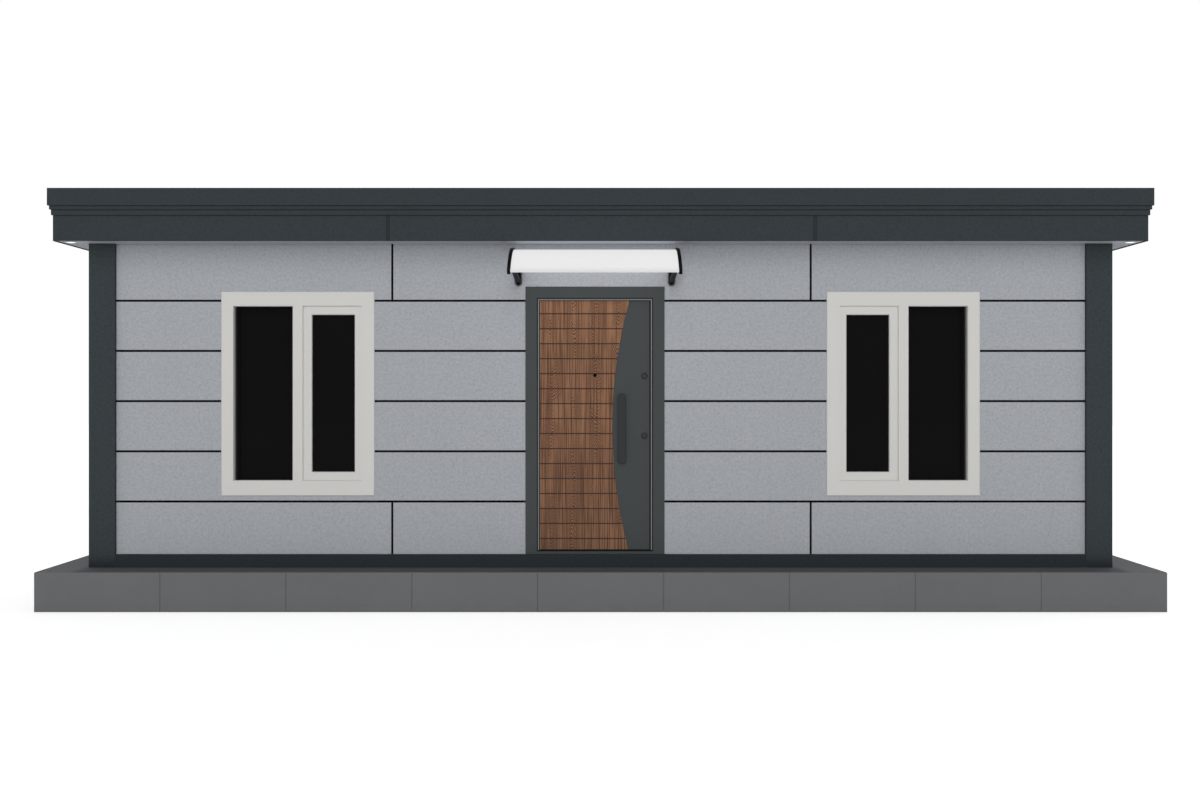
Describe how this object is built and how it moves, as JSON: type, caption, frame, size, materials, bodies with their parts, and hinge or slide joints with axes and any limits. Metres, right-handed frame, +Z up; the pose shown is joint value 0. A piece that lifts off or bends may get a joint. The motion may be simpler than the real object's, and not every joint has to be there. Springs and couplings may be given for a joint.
{
  "type": "container house with a hinged entrance door on a plinth",
  "caption": "Flat-roofed container house with grey boarded walls, dark corner posts and eaves, framed windows, a hinged entrance door under a curved canopy, and a plinth.",
  "frame": {"origin": "centre of the plinth's underside, at ground level", "axes": "+Z up, +X along the house's length to the right as seen from the front, front wall facing -Y"},
  "size_m": [8.62, 3.8863, 3.238],
  "materials": {
    "concrete": "fair-faced concrete, matt",
    "dark_steel": "anthracite paint with a fine grain, satin",
    "galvanised": "galvanised section",
    "floor_sheet": "floor sheet, matt",
    "wall_panel": "white lined insulated panel",
    "grey_board": "mid grey, fine stucco emboss, matt",
    "black_strip": "black trim strip, satin",
    "window_plastic": "warm light grey, smooth",
    "dark_glass": "dark tinted double glazing",
    "white_handle": "white, smooth",
    "door_steel": "dark grey powder coat, satin",
    "seal": "grey rubber",
    "walnut": "walnut, vertical grain, satin lacquer",
    "handle_steel": "dark grey, satin",
    "canopy_sheet": "white translucent sheet",
    "black_plastic": "black moulded plastic",
    "canopy_rail": "mill finish",
    "roof_metal": "light grey coated sheet, satin",
    "soffit_sheet": "light grey sheet, matt",
    "dark_panel": "anthracite, fine stucco emboss, satin",
    "light_trim": "pale grey ring",
    "light_lens": "opal lens"
  },
  "bodies": {
    "house": {"plinth": "concrete", "floor_rails": "dark_steel", "floor_joists": "galvanised", "floor_deck": "floor_sheet", "corner_posts": "dark_steel", "front_wall_left": "wall_panel", "front_wall_right": "wall_panel", "front_wall_over_door": "wall_panel", "back_wall": "wall_panel", "left_wall": "wall_panel", "right_wall": "wall_panel", "front_boards": "grey_board", "back_boards": "grey_board", "side_boards": "grey_board", "joint_strips": "black_strip", "window_frames": "window_plastic", "window_sashes": "window_plastic", "window_glass": "dark_glass", "window_handles": "white_handle", "door_frame": "door_steel", "door_seal": "seal", "hinges_frame_side": "handle_steel", "canopy_sheet": "canopy_sheet", "canopy_ribs": "black_plastic", "canopy_brackets": "black_plastic", "canopy_rails": "canopy_rail", "ceiling_panel": "wall_panel", "roof_beams_long": "galvanised", "roof_beams_short": "galvanised", "roof_panel_front": "roof_metal", "roof_panel_back": "roof_metal", "roof_ridge_cap": "roof_metal", "soffit": "soffit_sheet", "fascia_front": "dark_panel", "fascia_back": "dark_panel", "fascia_left": "dark_panel", "fascia_right": "dark_panel", "downlights": "light_trim", "downlight_lenses": "light_lens"},
    "door": {"door_leaf": "door_steel", "door_wood_panel": "walnut", "door_steel_panel": "door_steel", "door_pull_handle": "handle_steel", "door_fittings": "handle_steel", "door_inner_handle": "handle_steel", "hinges_leaf_side": "handle_steel"}
  },
  "joints": [
    {"name": "door_hinge", "type": "hinge", "parent": "house", "child": "door", "pos_m": [-0.504, -1.365, 1.4], "axis": [0, 0, 1], "range_deg": [0, 95]}
  ]
}
